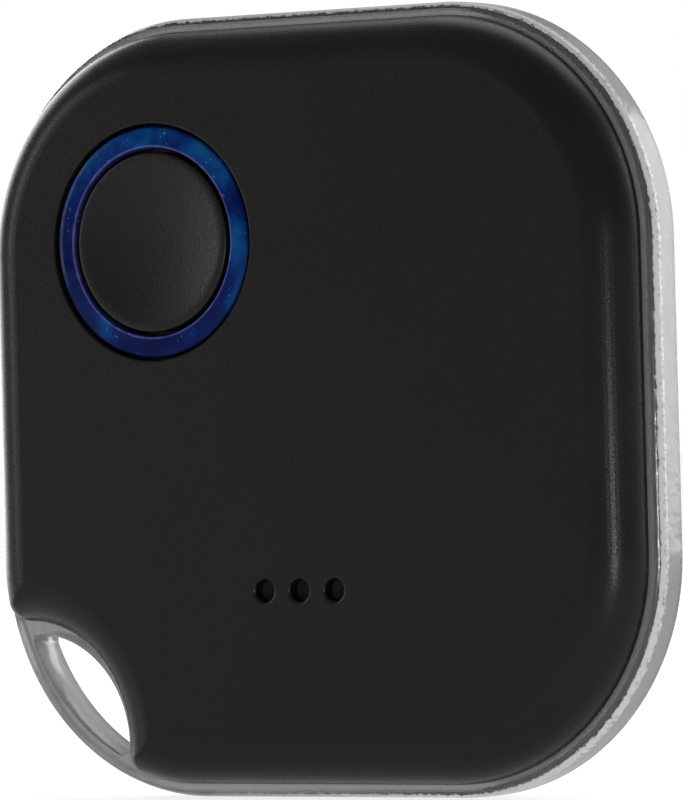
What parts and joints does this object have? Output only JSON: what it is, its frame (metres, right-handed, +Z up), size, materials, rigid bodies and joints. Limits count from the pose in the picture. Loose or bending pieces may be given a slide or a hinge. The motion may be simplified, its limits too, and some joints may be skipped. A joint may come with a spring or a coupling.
{
  "type": "bluetooth tracker tag",
  "caption": "Flat square tracker tag with soft corners: black covers either side of a clear frame with a key loop, a press button in a light ring, sound holes and a coin cell.",
  "frame": {"origin": "on the surface the tag stands on, under the middle of its box", "axes": "+X to the right seen from the front, +Y from the front face to the rear cover, +Z up; the face with the button looks along -Y"},
  "size_m": [0.036, 0.006, 0.036],
  "materials": {
    "cover_black": "fine matt texture",
    "clear_plastic": "clear, polished",
    "natural_plastic": "satin, natural white",
    "ring_blue": "deep blue, glossy, lets light through",
    "package_black": "moulded, matt",
    "steel": "satin",
    "mesh_black": "matt",
    "brass": "rolled sheet",
    "gold_plate": "gold plated spring",
    "ceramic": "fired ceramic",
    "board_green": "solder mask",
    "film_amber": "thin film",
    "lithium": "soft metal disc",
    "led_white": "moulded lens"
  },
  "bodies": {
    "housing": {"buzzer_ceramic": "ceramic", "buzzer_driver": "package_black", "buzzer_glue_ring": "mesh_black", "buzzer_lead_ceramic": "gold_plate", "buzzer_lead_plate": "gold_plate", "buzzer_plate": "brass", "capacitor_1": "ceramic", "capacitor_2": "ceramic", "capacitor_3": "ceramic", "capacitor_4": "ceramic", "capacitor_5": "ceramic", "chip_antenna": "ceramic", "circuit_board": "board_green", "clear_frame": "clear_plastic", "contact_negative": "steel", "contact_positive": "steel", "crystal_clock": "steel", "crystal_main": "steel", "front_cover": "cover_black", "inner_carrier": "natural_plastic", "insulator_film": "film_amber", "led_1": "led_white", "led_2": "led_white", "led_3": "led_white", "led_4": "led_white", "light_ring": "ring_blue", "power_inductor": "package_black", "radio_chip": "package_black", "resistor_1": "package_black", "resistor_2": "package_black", "resistor_3": "package_black", "sound_mesh": "mesh_black", "switch_base": "package_black", "switch_dome": "steel", "switch_shell": "steel"},
    "button": {"button_cap": "cover_black"},
    "plunger": {"switch_plunger": "package_black"},
    "back": {"rear_cover": "cover_black"},
    "cell": {"cell_can": "steel", "cell_gasket": "package_black", "cell_cathode": "mesh_black", "cell_anode": "lithium", "cell_cap": "steel"}
  },
  "joints": [
    {"name": "button_press", "type": "slide", "parent": "housing", "child": "button", "axis": [0, 1, 0], "range_m": [0, 0.00025], "stiffness_N_per_m": 6400, "deforming": ["switch_dome"]},
    {"name": "plunger_press", "type": "slide", "parent": "housing", "child": "plunger", "axis": [0, 1, 0], "range_m": [0, 0.00025]},
    {"name": "rear_cover_release", "type": "slide", "parent": "housing", "child": "back", "axis": [0, 1, 0], "range_m": [0, 0.012]},
    {"name": "cell_slide", "type": "slide", "parent": "housing", "child": "cell", "axis": [0, 1, 0], "range_m": [0, 0.006]}
  ],
  "couplings": [
    {"joint": "plunger_press", "follows": "button_press", "ratio": 1},
    {"joint": "cell_slide", "follows": "rear_cover_release", "ratio": 0.5}
  ]
}
